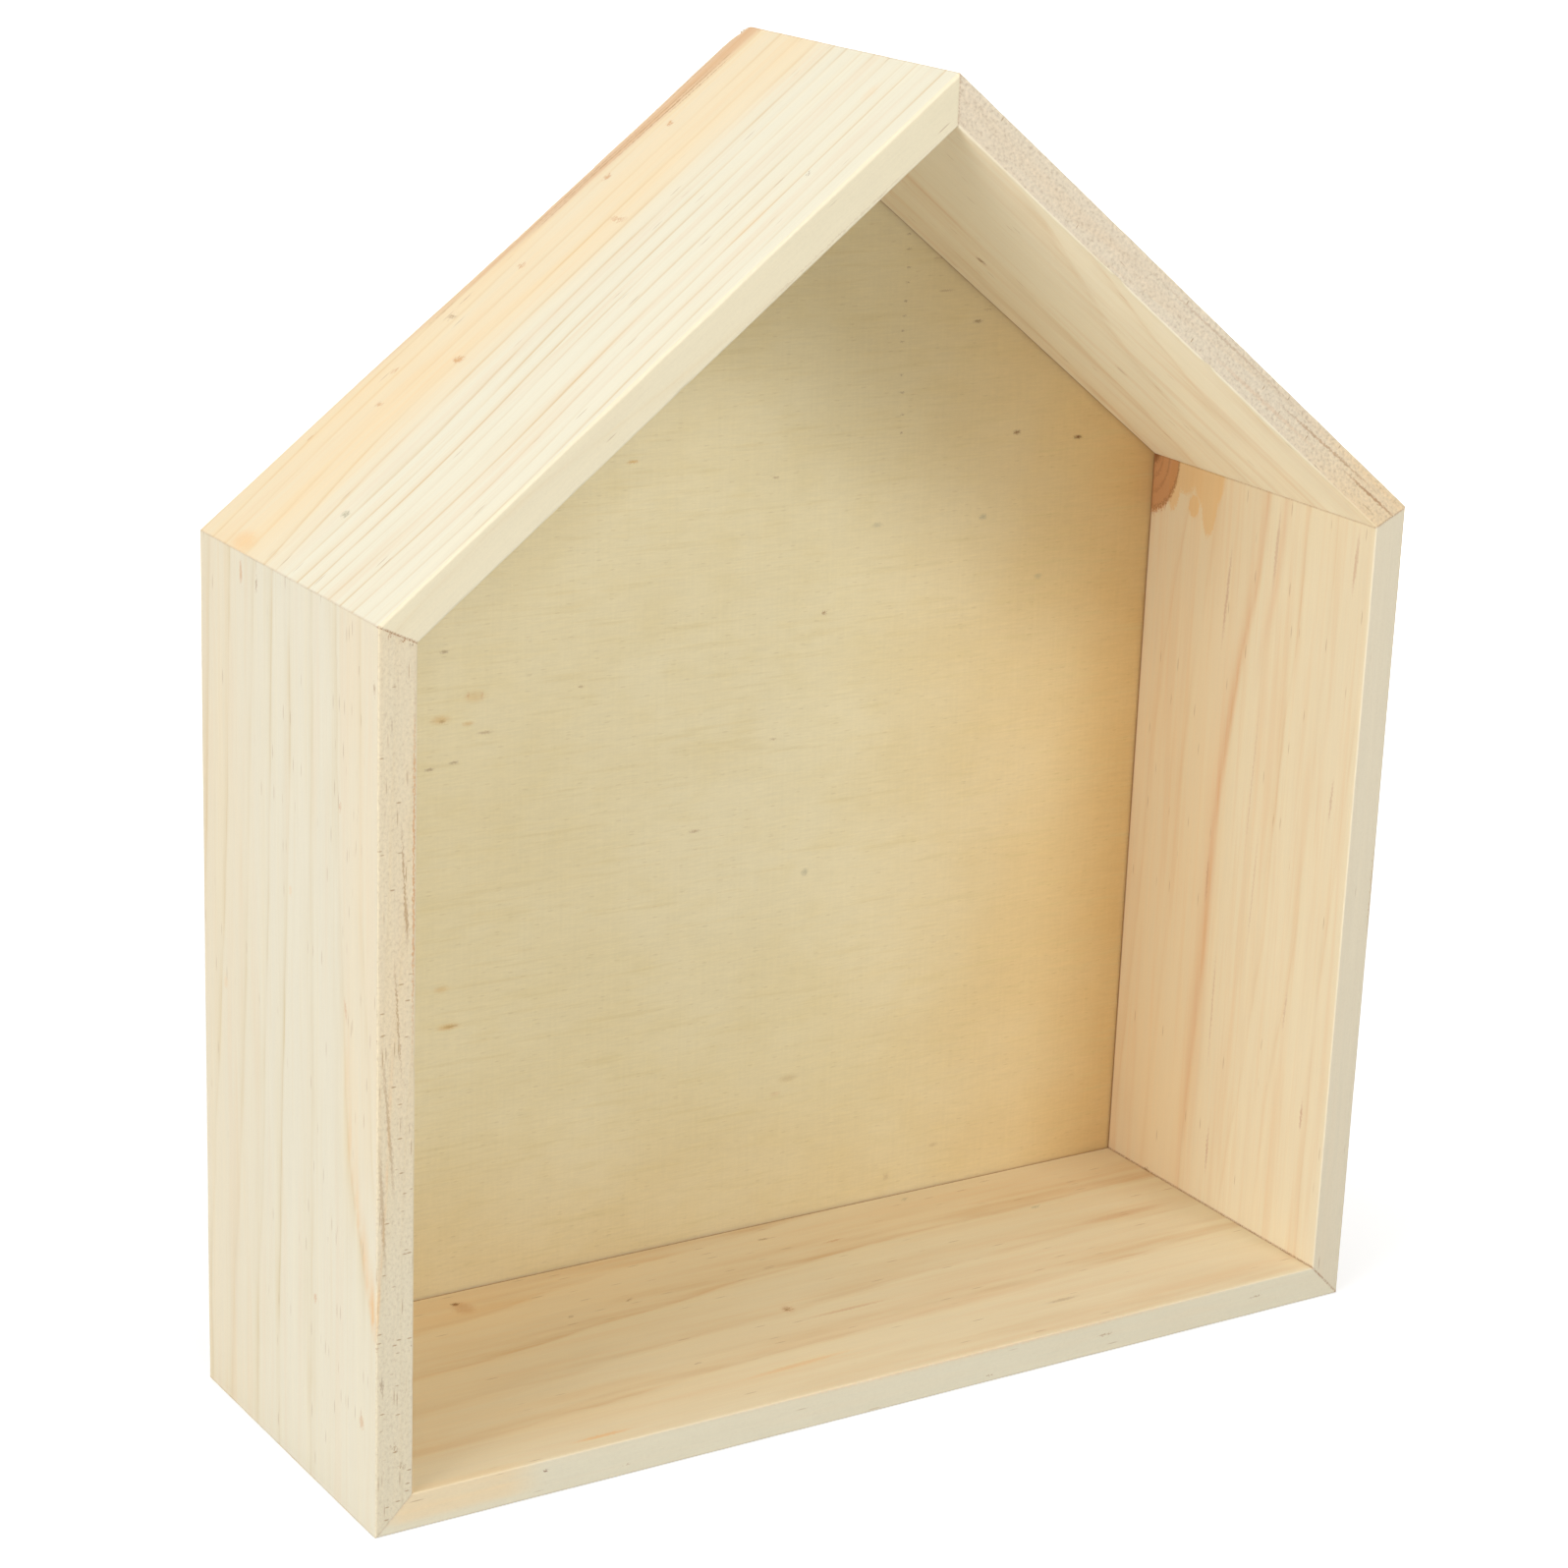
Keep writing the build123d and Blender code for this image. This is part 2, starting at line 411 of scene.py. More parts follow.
class LeftRoof(Look):
    places = (0, 50, 100, 150, 190)
    lines = (
        (5.5, 5, 3.5, 1, 2),
        (11.5, 11, 10, 6.5, 8),
        (17.5, 17, 15.5, 12, 13.5),
        (23, 22.5, 21.5, 18.5, 20),
        (30, 29.5, 28.5, 24.5, 26),
        (36.5, 36, 35, 31, 32),
        (42, 41.5, 40, 36.5, 37),
        (49, 48, 47, 42, 43),
        (54.5, 54, 53, 48.5, 49),
        (62.5, 62, 61, 59, 55),
        (71, 70.5, 69.5, 68, 61),
        (79.5, 79.5, 78.5, 77, 72),
        (89, 89, 88, 87, 84),
    )
    spacing = 7
    tilts = (0.5, 0.5)
    profile = ((0.0, 0.5), (0.03, 1.0), (0.08, 0.55), (0.18, 0.15), (0.45, 0.03), (0.93, 0.02), (1.0, 0.5))
    line_strength = 0.62
    waver = 0.05
    streaks = 0.12
    bands = 0.2
    wood = (233, 226, 203)
    edge_wood = (232, 221, 191)
    late = (208, 174, 114)
    ruddy = (212, 166, 122)
    torn = 0.6
    ridge_wear = 1.0
    seed = 17
    shown_marks = (
        (36, 86, 2.2, 3.4, 20, "rust", 0.7),
        (57, 88, 2.6, 3.4, 30, "rust", 0.7),
        (68, 67, 2.2, 9, -8, "rust", 0.45),
        (89.5, 84.5, 1.8, 4, -10, "rust", 0.65),
        (110, 90, 1.8, 5, -10, "resin", 0.6),
        (120.5, 70.5, 2.4, 6, -10, "rust", 0.75),
        (140, 82, 1.8, 4, -20, "rust", 0.6),
        (130, 90, 2, 3, -20, "rust", 0.5),
        (170, 51.5, 2.2, 4.2, 0, "grey", 0.75),
        (39.5, 16, 1, 2.4, 20, "knot", 0.6),
        (188, 78, 9, 16, 0, "orange", 0.4),
        (58, 17, 22, 3, 0, "orange", 0.14),
        (12, 24, 9, 5, 0, "orange", 0.14),
        (22, 90.4, 34, 0.7, 1.5, "bark", 0.6),
        (33, 92.2, 60, 0.8, 1.5, "bark", 0.7),
        (46, 94, 84, 0.7, 1.5, "bark", 0.6),
        (60, 95.6, 84, 0.7, 1.5, "bark", 0.5),
        (20, 96.6, 44, 0.7, 0, "bark", 0.5),
        (70, 93.6, 26, 0.7, 1, "bark", 0.4),
        (104, 92.2, 6, 0.8, 0, "bark", 0.4),
        (110, 95.5, 14, 0.8, 0, "bark", 0.4),
        (156, 94.6, 4, 0.9, 0, "rust", 0.5),
    )
    front_marks = (
        (50, 9, 80, 0.6, 0, "resin", 0.2),
    )

    def back_arris(self, u):
        return outer_arris + 2.2 * (1 - step(u, 60, 150))

    def figure(self, u, v, w):
        return 0.25 + 0.75 * step(v, 0.2, 1.6)

    def stain(self, u, v, w):
        torn_front = step(u, 170, 186) * (1 - step(v, 0.3, 1.0))
        return 0.22 + 0.4 * torn_front

    def warmth_and_depth_shade(self, u, v, w):
        return 0.6 * step(v, 50, 72) + 0.15 * step(v, 84, 96)

    def blush(self, u, v, w):
        edge = through(u, (0, 40, 90, 130, 190), (90, 91.5, 94, 97, 99))
        amount = through(u, (0, 60, 110, 140, 190), (0.8, 0.75, 0.55, 0.25, 0.0))
        return amount * step(v, edge - 0.5, edge + 1.5)


class LeftWall(Look):
    places = (0, 45, 90, 110, 140, 155, 170, 176, 228)
    lines = (
        (21.5, 20.5, 18.5, 16.5, 13, 8, 3, 0, -12),
        (35, 35.3, 35.5, 35.5, 35.7, 35.8, 36, 36, 36.5),
        (46.5, 47.5, 50, 51, 52.5, 53, 53.5, 54, 56),
        (56.5, 58.5, 60.5, 61.5, 63.5, 64.5, 65.5, 66, 68),
        (67, 70, 72.5, 73.5, 76, 77.5, 79, 80, 84),
        (81, 83, 86, 88, 91, 93, 94, 95, 97),
    )
    spacing = 12
    tilt_places = (0, 50, 100, 130, 150, 176, 228)
    tilts = (2.1, 2.6, 3.8, 5.0, 5.5, 5.5, 5.0)
    profile = ((0.0, 0.4), (0.03, 0.9), (0.09, 0.5), (0.22, 0.2), (0.6, 0.05), (0.93, 0.05), (1.0, 0.4))
    line_strength = 0.6
    waver = 0.1
    streaks = 0.14
    bands = 0.14
    wood = (230, 222, 200)
    edge_wood = (222, 211, 185)
    late = (208, 186, 138)
    torn = 1.0
    edge_rough = 0.6
    outer_round = 0.5
    ruddy = (230, 188, 134)
    seed = 23
    shown_marks = (
        (178, 34, 2.4, 2.4, 0, "rust", 0.5),
        (77, 47.5, 4, 2, 0, "orange", 0.25),
        (113, 86, 5, 3, 0, "orange", 0.2),
        (200, 8, 5, 3.6, 0, "rust", 0.4),
        (15, 2, 4, 1.4, 0, "resin", 0.5),
        (5, 75, 8, 2, 0, "rust", 0.55),
        (6, 66, 5, 1.2, 12, "resin", 0.6),
        (97, 17, 8, 1.6, -12, "rust", 0.4),
        (48, 20, 3, 1.6, 20, "rust", 0.4),
    )
    front_marks = (
        (2, 3.2, 2.6, 0.7, -60, "bark", 0.8),
        (3.6, 6.2, 3, 0.9, -60, "bark", 0.9),
        (4.6, 8.4, 1.6, 0.7, -60, "knot", 0.7),
        (60, 9.2, 120, 0.7, 0, "rust", 0.7),
        (70, 7.4, 16, 1.4, 4, "resin", 0.6),
        (62, 6.8, 40, 0.7, 3, "resin", 0.55),
        (95, 5.4, 40, 0.7, 4, "resin", 0.5),
        (120, 3, 50, 1.2, 5, "resin", 0.4),
        (142, 1.6, 44, 1.4, 3, "resin", 0.4),
        (187, 1.5, 6, 1.2, 0, "knot", 0.4),
        (205, 5, 4, 0.8, 60, "resin", 0.5),
        (210, 7, 4, 0.8, 60, "resin", 0.5),
    )

    def warmth_and_depth_shade(self, u, v, w):
        front_zone = (1 - step(v, 12, 24)) * (1 - step(u, 110, 170))
        return 0.25 * front_zone + 0.2 * step(v, 55, 90)

    def blush(self, u, v, w):
        line = through(u, self.places, self.lines[0])
        across = self.across(u, v, w)
        amount = through(u, (0, 100, 140, 160, 172, 180, 228), (0.05, 0.15, 0.3, 0.7, 0.8, 0.2, 0.1))
        veins = 0.5 + 0.5 * np.sin(across * 5.5)
        patch = hump(across - line + 1.6, 2.4) * (0.35 + 0.65 * veins)
        return amount * patch + 0.3 * hump(across - line, 0.7) * step(u, 90, 130)

    def resin(self, u, v, w):
        dashes = hump(v - 15, 6) * (1 - step(u, 70, 120))
        near_front = hump(v - 6, 7) * hump(u - 100, 30)
        lower = hump(v - 25, 7) * step(u, 140, 170)
        on_edge = 1 - step(v, 0.2, 0.8)
        return 0.1 + 0.5 * np.maximum(dashes, np.maximum(near_front, lower)) + 0.4 * on_edge

    def ticks(self, u, v, w):
        return 0.12 + 0.3 * step(u, 60, 110)

    def figure(self, u, v, w):
        return 0.5 + 0.5 * step(v, 0.2, 1.4)

    def stain(self, u, v, w):
        torn_front = (1 - step(u, 4, 20)) * (1 - step(v, 0.3, 1.0))
        return 0.22 + 0.6 * torn_front


looks = [FloorBoard(), RightWall(), RightRoof(), LeftRoof(), LeftWall()]


# The boards' meshes


class Side:
    """One side of the outline: where its board starts, runs and ends."""

    def __init__(self, number):
        self.start = corners[number]
        self.end = end = corners[(number + 1) % len(corners)]
        self.length = (end - self.start).length / MM
        self.along = (end - self.start).normalized()
        self.inward = self.along.cross(Vector((0, 1, 0)))
        before = (self.start - corners[number - 1]).normalized()
        after = (corners[(number + 2) % len(corners)] - end).normalized()
        self.start_slant = math.tan(before.angle(self.along) / 2)
        self.end_slant = math.tan(self.along.angle(after) / 2)


def stations(length):
    """Where a board is divided along its length, from 0 to 1, finer at the ends."""
    near = [0, 0.12, 0.3, 0.55, 0.8] + list(np.arange(1.1, 7.6, 0.3))
    middle_step = 2.0
    count = round((length - 2 * near[-1]) / middle_step)
    middle = np.linspace(near[-1], length - near[-1], count + 1)[1:-1]
    far = [length - n for n in reversed(near)]
    return np.array([*near, *middle, *far]) / length


def places_along(run, spacing):
    """Even places from 0 to 1, without the last, at about the spacing."""
    count = max(round(run / spacing), 1)
    return np.arange(count) / count


# The pieces of a board's outline in order, each with its places from 0 to 1
section_plan = [
    ("outer", places_along(depth, 1.6)),
    ("back_arris", places_along(6, 1)),
    ("rim", places_along(rim, 0.25)),
    ("rebate", places_along(panel_thickness, 0.8)),
    ("ledge", places_along(thickness - rim, 0.8)),
    ("broken_edge", places_along(1, 1)),
    ("inner", places_along(depth, 1.6)),
    ("mouth_arris", places_along(7, 1)),
    ("edge", places_along(thickness, 0.5)),
    ("front_arris", places_along(6, 1)),
]
zone = np.array([kind for kind, places in section_plan for _ in places])[None, :]


def section(arris, mouth, back_arris):
    """Every point (in from the front, in from outside) of a board's outline with
    its outward normal. The radii are columns with one value for each station."""
    panel_face = depth - panel_thickness
    bevelled = panel_face - ledge_chamfer
    ledge = thickness - ledge_chamfer
    straights = {
        "outer": ((arris, 0), (depth - back_arris, 0), (0, -1)),
        "rim": ((depth, back_arris), (depth, rim), (1, 0)),
        "rebate": ((depth, rim), (panel_face, rim), (0, 1)),
        "ledge": ((panel_face, rim), (panel_face, ledge), (1, 0)),
        "broken_edge": ((panel_face, ledge), (bevelled, thickness), (0.7, 0.7)),
        "inner": ((bevelled, thickness), (mouth, thickness), (0, 1)),
        "edge": ((0, thickness - mouth), (0, arris), (-1, 0)),
    }
    curves = {
        "back_arris": ((depth - back_arris, back_arris), back_arris, -90),
        "mouth_arris": ((mouth, thickness - mouth), mouth, 90),
        "front_arris": ((arris, arris), arris, 180),
    }
    parts = []
    for kind, p in section_plan:
        p = p[None, :] + 0 * arris
        if kind in straights:
            a, b, normal = straights[kind]
            v = a[0] + (b[0] - a[0]) * p
            w = a[1] + (b[1] - a[1]) * p
            parts.append((v, w, normal[0] + 0 * p, normal[1] + 0 * p))
        else:
            centre, radius, first_angle = curves[kind]
            angle = np.radians(first_angle + 90 * p)
            parts.append((
                centre[0] + radius * np.cos(angle),
                centre[1] + radius * np.sin(angle),
                np.cos(angle),
                np.sin(angle),
            ))
    return [np.concatenate(columns, axis=1) for columns in zip(*parts)]


def crown_areas():
    """For each corner its place, the two directions of the staple's crown and how
    far the crown reaches each way, in metres, seen from the rear."""
    points = np.array([v.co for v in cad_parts["corner_staples"].data.vertices])
    areas = []
    for number, corner in enumerate(corners):
        before = (corner - corners[number - 1]).normalized()
        after = (corners[(number + 1) % len(corners)] - corner).normalized()
        across = np.array((before + after).normalized())[[0, 2]]
        mitre = np.array([-across[1], across[0]])
        middle = np.array([corner.x, corner.z])
        flat = points[:, [0, 2]] - middle
        own = flat[np.linalg.norm(flat, axis=1) < 2 * thickness * MM]
        spans = [((own @ axis).min(), (own @ axis).max()) for axis in (across, mitre)]
        areas.append((middle, (across, mitre), spans))
    return areas


def staple_pits(x, z):
    """1 where a point of the boards' rear rim lies under a corner staple's crown."""
    play = 0.1 * MM
    pit = np.zeros_like(x)
    for middle, axes, spans in crown_areas():
        inside = np.ones_like(x)
        for axis, (low, high) in zip(axes, spans):
            place = (x - middle[0]) * axis[0] + (z - middle[1]) * axis[1]
            inside = inside * (place > low - play) * (place < high + play)
        pit = np.maximum(pit, inside)
    return pit


# How far the worn boards stray from the CAD boards' faces, in millimetres
skin_depth = 0.09
slow_swell = 0.02
fine_swell = 0.012
saw_mark = 0.05
chip_depth = 0.45
hairline = 0.07
hairline_width = 0.28
ridge_reach = 3.5
# How much an arris varies along its board, as a share of its radius
arris_variation = 0.16


def worn_section(side, look, f):
    """A board's points along it, in from the front and in from outside, with
    its arrises, its slight unevenness and the hairline at its mitres."""
    u_line = f * side.length

    def uneven(row, period):
        return 1 + arris_variation * noise(u_line / period, row, 0.5, look.seed)

    arris = look.outer_round * uneven(0.5, 14)
    mouth = look.mouth_round * uneven(1.5, 11)
    back_arris = look.back_arris(u_line) * uneven(2.5, 17)
    v, w, normal_v, normal_w = section(arris, mouth, back_arris)

    near_joint = np.minimum(f, 1 - f) * side.length
    torn = 0.5 + 0.5 * noise(v / 1.1, w / 0.7, f * 9, look.seed + 1)
    groove = (0.01 + hairline * look.torn * torn) * (1 - step(near_joint, 0.0, hairline_width))
    relief = slow_swell * noise(u_line / 31, v / 9, w / 9, look.seed + 2)
    relief = relief + fine_swell * noise(u_line / 6, v / 1.6, w / 1.6, look.seed + 3)
    sawn = look.sawn * np.isin(zone, ("edge", "mouth_arris", "front_arris"))
    relief = relief + saw_mark * sawn * noise(u_line / 1.7, v / 0.8, w / 1.1, look.seed + 4)
    chips = step(noise(u_line / 4.5, 0.5, 1.5, look.seed + 8), 0.25, 0.7)
    relief = relief - chip_depth * look.chipped * chips * (zone == "mouth_arris")
    from_ridge = u_line if side.end.z < side.start.z else side.length - u_line
    outside = np.isin(zone, ("outer", "back_arris"))
    relief = relief - look.ridge_wear * outside * hump(from_ridge, ridge_reach) * step(v, 94.5, 99.5)
    hidden = np.isin(zone, ("rebate", "ledge"))
    sunk = skin_depth + groove - np.where(hidden, 0, relief)
    v = v - normal_v * sunk
    w = w - normal_w * sunk

    first = w * side.start_slant
    last = side.length - w * side.end_slant
    u = first + (last - first) * f
    gap = look.gap * (0.6 + 0.4 * torn)
    u = u + np.where(f == 0, gap, 0) - np.where(f == 1, gap, 0)
    return u, v, w


def board_mesh(number, look):
    """A board as a fine mesh, with what the pine material reads at each point."""
    side = Side(number)
    f = stations(side.length)[:, None]
    u, v, w = worn_section(side, look, f)
    x = side.start.x + (side.along.x * u + side.inward.x * w) * MM
    y = front + v * MM
    z = side.start.z + (side.along.z * u + side.inward.z * w) * MM
    crown_depth = 0.3 * MM
    y = y - np.where(zone == "rim", staple_pits(x, z) * crown_depth, 0)

    rows, columns = v.shape
    index = np.arange(rows * columns).reshape(rows, columns)
    near, far = index[:-1], index[1:]
    quads = np.stack([near, np.roll(near, -1, 1), np.roll(far, -1, 1), far], -1)
    caps = [index[0, ::-1].tolist(), index[-1].tolist()]
    points = np.stack([x, y, z], -1).reshape(-1, 3)
    mesh = bpy.data.meshes.new(side_names[number] + "_pine")
    mesh.from_pydata(points.tolist(), [], quads.reshape(-1, 4).tolist() + caps)
    mesh.shade_smooth()
    mesh.set_sharp_from_angle(angle=math.radians(40))
    add_fields(mesh, look, side, u, v, w)
    return mesh


def add_fields(mesh, look, side, u, v, w):
    """Write what the pine material reads at each point of the mesh."""
    place = mesh.attributes.new("board", "FLOAT_VECTOR", "POINT")
    place.data.foreach_set("vector", np.stack([u, v, w], -1).astype(np.float32).ravel())
    start_joint = (u - w * side.start_slant) * math.cos(math.atan(side.start_slant))
    end_joint = (side.length - w * side.end_slant - u) * math.cos(math.atan(side.end_slant))
    from_look = ("ring", "warmth_and_depth_shade", "blush", "resin", "figure", "stain", "ticks")
    fields = {key: getattr(look, key)(u, v, w) for key in from_look}
    fields["joint"] = np.minimum(start_joint, end_joint)
    fields["arris"] = np.isin(zone, ("front_arris", "back_arris", "mouth_arris")) * 1.0
    fields["edge"] = np.isin(zone, ("edge", "front_arris")) * 1.0
    for key, values in fields.items():
        data = mesh.attributes.new(key, "FLOAT", "POINT").data
        data.foreach_set("value", np.broadcast_to(values, u.shape).astype(np.float32).ravel())


# Materials


class Nodes:
    """The nodes of a material or the world, with short calls for those used here."""

    def __init__(self, owner):
        owner.use_nodes = True
        self.owner = owner
        self.tree = owner.node_tree

    def surface(self, **sockets):
        """Put values on the shader's sockets, each named with _ for a space."""
        shader = self.tree.nodes["Principled BSDF"]
        for name, value in sockets.items():
            self.put(shader.inputs[name.replace("_", " ")], value)

    def new(self, kind, inputs=(), **settings):
        node = self.tree.nodes.new(kind)
        for key, value in settings.items():
            setattr(node, key, value)
        for key, value in dict(inputs).items():
            self.put(node.inputs[key], value)
        return node

    def put(self, socket, value):
        if isinstance(value, bpy.types.NodeSocket):
            self.tree.links.new(value, socket)
        elif value is not None:
            socket.default_value = value

    def attribute(self, name, output="Fac"):
        return self.new("ShaderNodeAttribute", attribute_name=name).outputs[output]

    def math(self, operation, a, b=None, c=None):
        inputs = {k: x for k, x in enumerate((a, b, c)) if x is not None}
        return self.new("ShaderNodeMath", inputs, operation=operation).outputs[0]

    def scaled(self, vector, scale, offset=(0, 0, 0)):
        node = self.new("ShaderNodeVectorMath", {0: vector, 1: scale, 2: offset}, operation="MULTIPLY_ADD")
        return node.outputs[0]

    def noise(self, vector, scale, detail=2, roughness=0.5, seed=0):
        moved = self.scaled(vector, scale, (seed * 7.31, seed * 3.17, seed * 5.71))
        inputs = {"Vector": moved, "Scale": 1, "Detail": detail, "Roughness": roughness}
        return self.new("ShaderNodeTexNoise", inputs).outputs["Fac"]

    def spread(self, value, low, high, to_low=0.0, to_high=1.0):
        """Smoothly maps low..high to to_low..to_high, level beyond both."""
        inputs = {"Value": value, "From Min": low, "From Max": high, "To Min": to_low, "To Max": to_high}
        return self.new("ShaderNodeMapRange", inputs, interpolation_type="SMOOTHSTEP").outputs[0]

    def ramp(self, value, stops):
        node = self.new("ShaderNodeValToRGB", {0: value})
        node.color_ramp.interpolation = "EASE"
        elements = node.color_ramp.elements
        while len(elements) < len(stops):
            elements.new(0.5)
        for element, (place, level) in zip(elements, stops):
            element.position = place
            element.color = (level, level, level, 1)
        return node.outputs[0]

    def mix(self, factor, a, b, blend="MIX"):
        node = self.new("ShaderNodeMix", {0: factor, 6: a, 7: b}, data_type="RGBA", blend_type=blend)
        node.clamp_factor = True
        return node.outputs[2]

    def brighten(self, colour, amount):
        """The colour times one plus the amount."""
        factor = self.math("ADD", amount, 1.0)
        node = self.new("ShaderNodeVectorMath", {0: colour, "Scale": factor}, operation="SCALE")
        return node.outputs[0]

    def bump(self, height, depth_mm, strength=1.0):
        inputs = {"Height": height, "Distance": depth_mm * MM, "Strength": strength}
        return self.new("ShaderNodeBump", inputs).outputs[0]

    def times(self, *factors):
        """The product of the factors."""
        result = factors[0]
        for factor in factors[1:]:
            result = self.math("MULTIPLY", result, factor)
        return result

    def total(self, *parts):
        """The sum of (value, weight) pairs."""
        result = None
        for value, weight in parts:
            result = self.math("MULTIPLY_ADD", value, weight, 0.0 if result is None else result)
        return result


tints = {
    "knot": linear(128, 82, 48),
    "resin": linear(164, 124, 80),
    "rust": linear(206, 148, 92),
    "orange": linear(236, 184, 116),
    "honey": linear(232, 190, 130),
    "plum": linear(196, 150, 124),
    "grey": linear(172, 164, 134),
    "olive": linear(190, 158, 98),
    "amber": linear(216, 176, 104),
    "bark": linear(176, 130, 88),
    "knot_wood": linear(200, 142, 92),
    "rosy": linear(228, 196, 158),
    "pale": linear(240, 230, 202),
    # The wood's warm tone, also used for painted shade deep in the shelf
    "warm_and_depth_shade": linear(240, 206, 152),
    # Sanded wear and a painted highlight on the arrises
    "worn_and_highlight": linear(236, 222, 192),
    "pit": linear(200, 162, 122),
    # Stained mitres, also used for the painted shade of the gap at the back panel
    "mitre_stain_and_gap_shade": linear(160, 108, 66),
    "veneer": linear(236, 225, 188),
    "veneer_cloud": linear(232, 219, 178),
    "veneer_mottle": linear(226, 212, 166),
    # Painted shade and warm bounce light on the back panel, towards the right wall and the floor
    "veneer_shade_tint": linear(226, 192, 132),
    "veneer_right_wall_shade_tint": linear(214, 170, 102),
    "veneer_streak": linear(210, 192, 138),
    "veneer_pore": linear(176, 150, 96),
    "dull_steel": linear(128, 120, 104),
}
# Tints whose patches have a crisp edge, as the share of a patch that is full
crisp = {"honey": 0.85, "knot_wood": 0.9}


def spot(nodes, place, centre, size, turn, strength, core=0.25, hollow=False):
    """How strongly a point lies in a small ellipse, or on its line if hollow."""
    inputs = {"Vector": place, "Location": centre, "Rotation": turn, "Scale": size}
    inside = nodes.new("ShaderNodeMapping", inputs, vector_type="TEXTURE").outputs[0]
    away = nodes.new("ShaderNodeVectorMath", {0: inside}, operation="LENGTH").outputs["Value"]
    if hollow:
        away = nodes.math("ABSOLUTE", nodes.math("SUBTRACT", away, 1.0))
        return nodes.spread(away, hollow, 0.0, 0.0, strength)
    return nodes.spread(away, 1.0, core, 0.0, strength)


def mark_masks(nodes, place, look):
    """The board's marks and loops, joined by tint."""
    skin = 1.4
    through_board = 400
    level = 0 if look.shown_face == "outer" else thickness
    masks = {}

    def join(tint, *spot_values, **spot_options):
        mask = spot(nodes, place, *spot_values, **spot_options)
        masks[tint] = nodes.math("MAXIMUM", masks[tint], mask) if tint in masks else mask

    for u, v, length, breadth, turn, tint, strength in look.shown_marks:
        size, angles = (length / 2, breadth / 2, skin), (0, 0, math.radians(turn))
        join(tint, (u, v, level), size, angles, strength, crisp.get(tint, 0.25))
    for u, w, length, breadth, turn, tint, strength in look.front_marks:
        size, angles = (length / 2, skin, breadth / 2), (0, -math.radians(turn), 0)
        join(tint, (u, 0, w), size, angles, strength, crisp.get(tint, 0.25))
    for u, v, length, breadth, line, tint, strength in look.loops:
        size = (length / 2, breadth / 2, through_board)
        join(tint, (u, v, thickness), size, (0, 0, 0), strength, hollow=line)
    return masks


def dashes(nodes, place, size, share, half_length=0.24):
    """Short dark dashes: small ellipses in a share of the cells of the size."""
    moved = nodes.scaled(place, [1 / side for side in size])
    cells = nodes.new("ShaderNodeTexVoronoi", {"Vector": moved, "Scale": 1})
    chance = nodes.new("ShaderNodeSeparateColor", {0: cells.outputs["Color"]}).outputs[0]
    picked = nodes.math("LESS_THAN", chance, share)
    inside = nodes.spread(cells.outputs["Distance"], half_length, half_length * 0.4)
    return nodes.times(inside, picked)


def growth(nodes, place, look, fibre):
    """How dark the latewood is at a point, from its place between two lines."""
    waver = nodes.noise(place, (1 / 40, 1 / 7, 1 / 7), 2, seed=look.seed)
    patchy = nodes.noise(place, (1 / 38, 1 / 4, 1 / 4), 2, 0.5, look.seed + 6)
    moved = nodes.total((waver, look.waver * 2), (fibre, 0.06), (nodes.attribute("ring"), 1.0))
    moved = nodes.math("SUBTRACT", moved, look.waver + 0.03)
    late = nodes.ramp(nodes.math("FRACT", moved), look.profile)
    count = nodes.math("FLOOR", moved)
    luck = nodes.new("ShaderNodeTexWhiteNoise", {"W": count}, noise_dimensions="1D").outputs[0]
    parts = [
        nodes.spread(patchy, 0.3, 0.7, 0.3, 1.25),
        nodes.spread(luck, 0.0, 1.0, 0.7, 1.15),
        nodes.spread(fibre, 0.25, 0.6, 0.6, 1.05),
        nodes.attribute("figure"),
        look.line_strength,
    ]
    return nodes.times(late, *parts)


def wandering(nodes, place, pitch, reach):
    """The place moved a little by noise, which makes the outlines of marks ragged."""
    inputs = {"Vector": nodes.scaled(place, pitch), "Detail": 2}
    shift = nodes.new("ShaderNodeTexNoise", inputs).outputs["Color"]
    shift = nodes.scaled(shift, reach, [-width / 2 for width in reach])
    return nodes.new("ShaderNodeVectorMath", {0: place, 1: shift}, operation="ADD").outputs[0]


# Noise of the pine: feature size along, across and into the board in
# millimetres, detail, roughness and what is added to the board's seed
pine_noise = {
    "fibre": ((13, 0.42, 0.42), 3, 0.6, 1),
    "streak": ((70, 1.9, 1.9), 3, 0.6, 2),
    "band": ((110, 5.5, 5.5), 3, 0.55, 9),
    "cloud": ((60, 22, 22), 2, 0.5, 3),
    "speckle": ((0.7, 0.35, 0.35), 2, 0.5, 4),
    "grit": ((0.95, 0.7, 0.75), 2, 0.6, 5),
}
# Cells that hold one dash each, in millimetres along, across and into the board
resin_cell = (11.0, 0.9, 0.9)
tick_cell = (1.1, 4.0, 3.8)
pore_cell = (4.0, 4.0, 0.9)
bare_wood_roughness = 0.5
bare_wood_specular = 0.3


def noises(nodes, place, plan, seed=0):
    """The noises of a plan, by name."""
    found = {}
    for name, (size, detail, roughness, number) in plan.items():
        scale = [1 / length for length in size]
        found[name] = nodes.noise(place, scale, detail, roughness, seed + number)
    return found


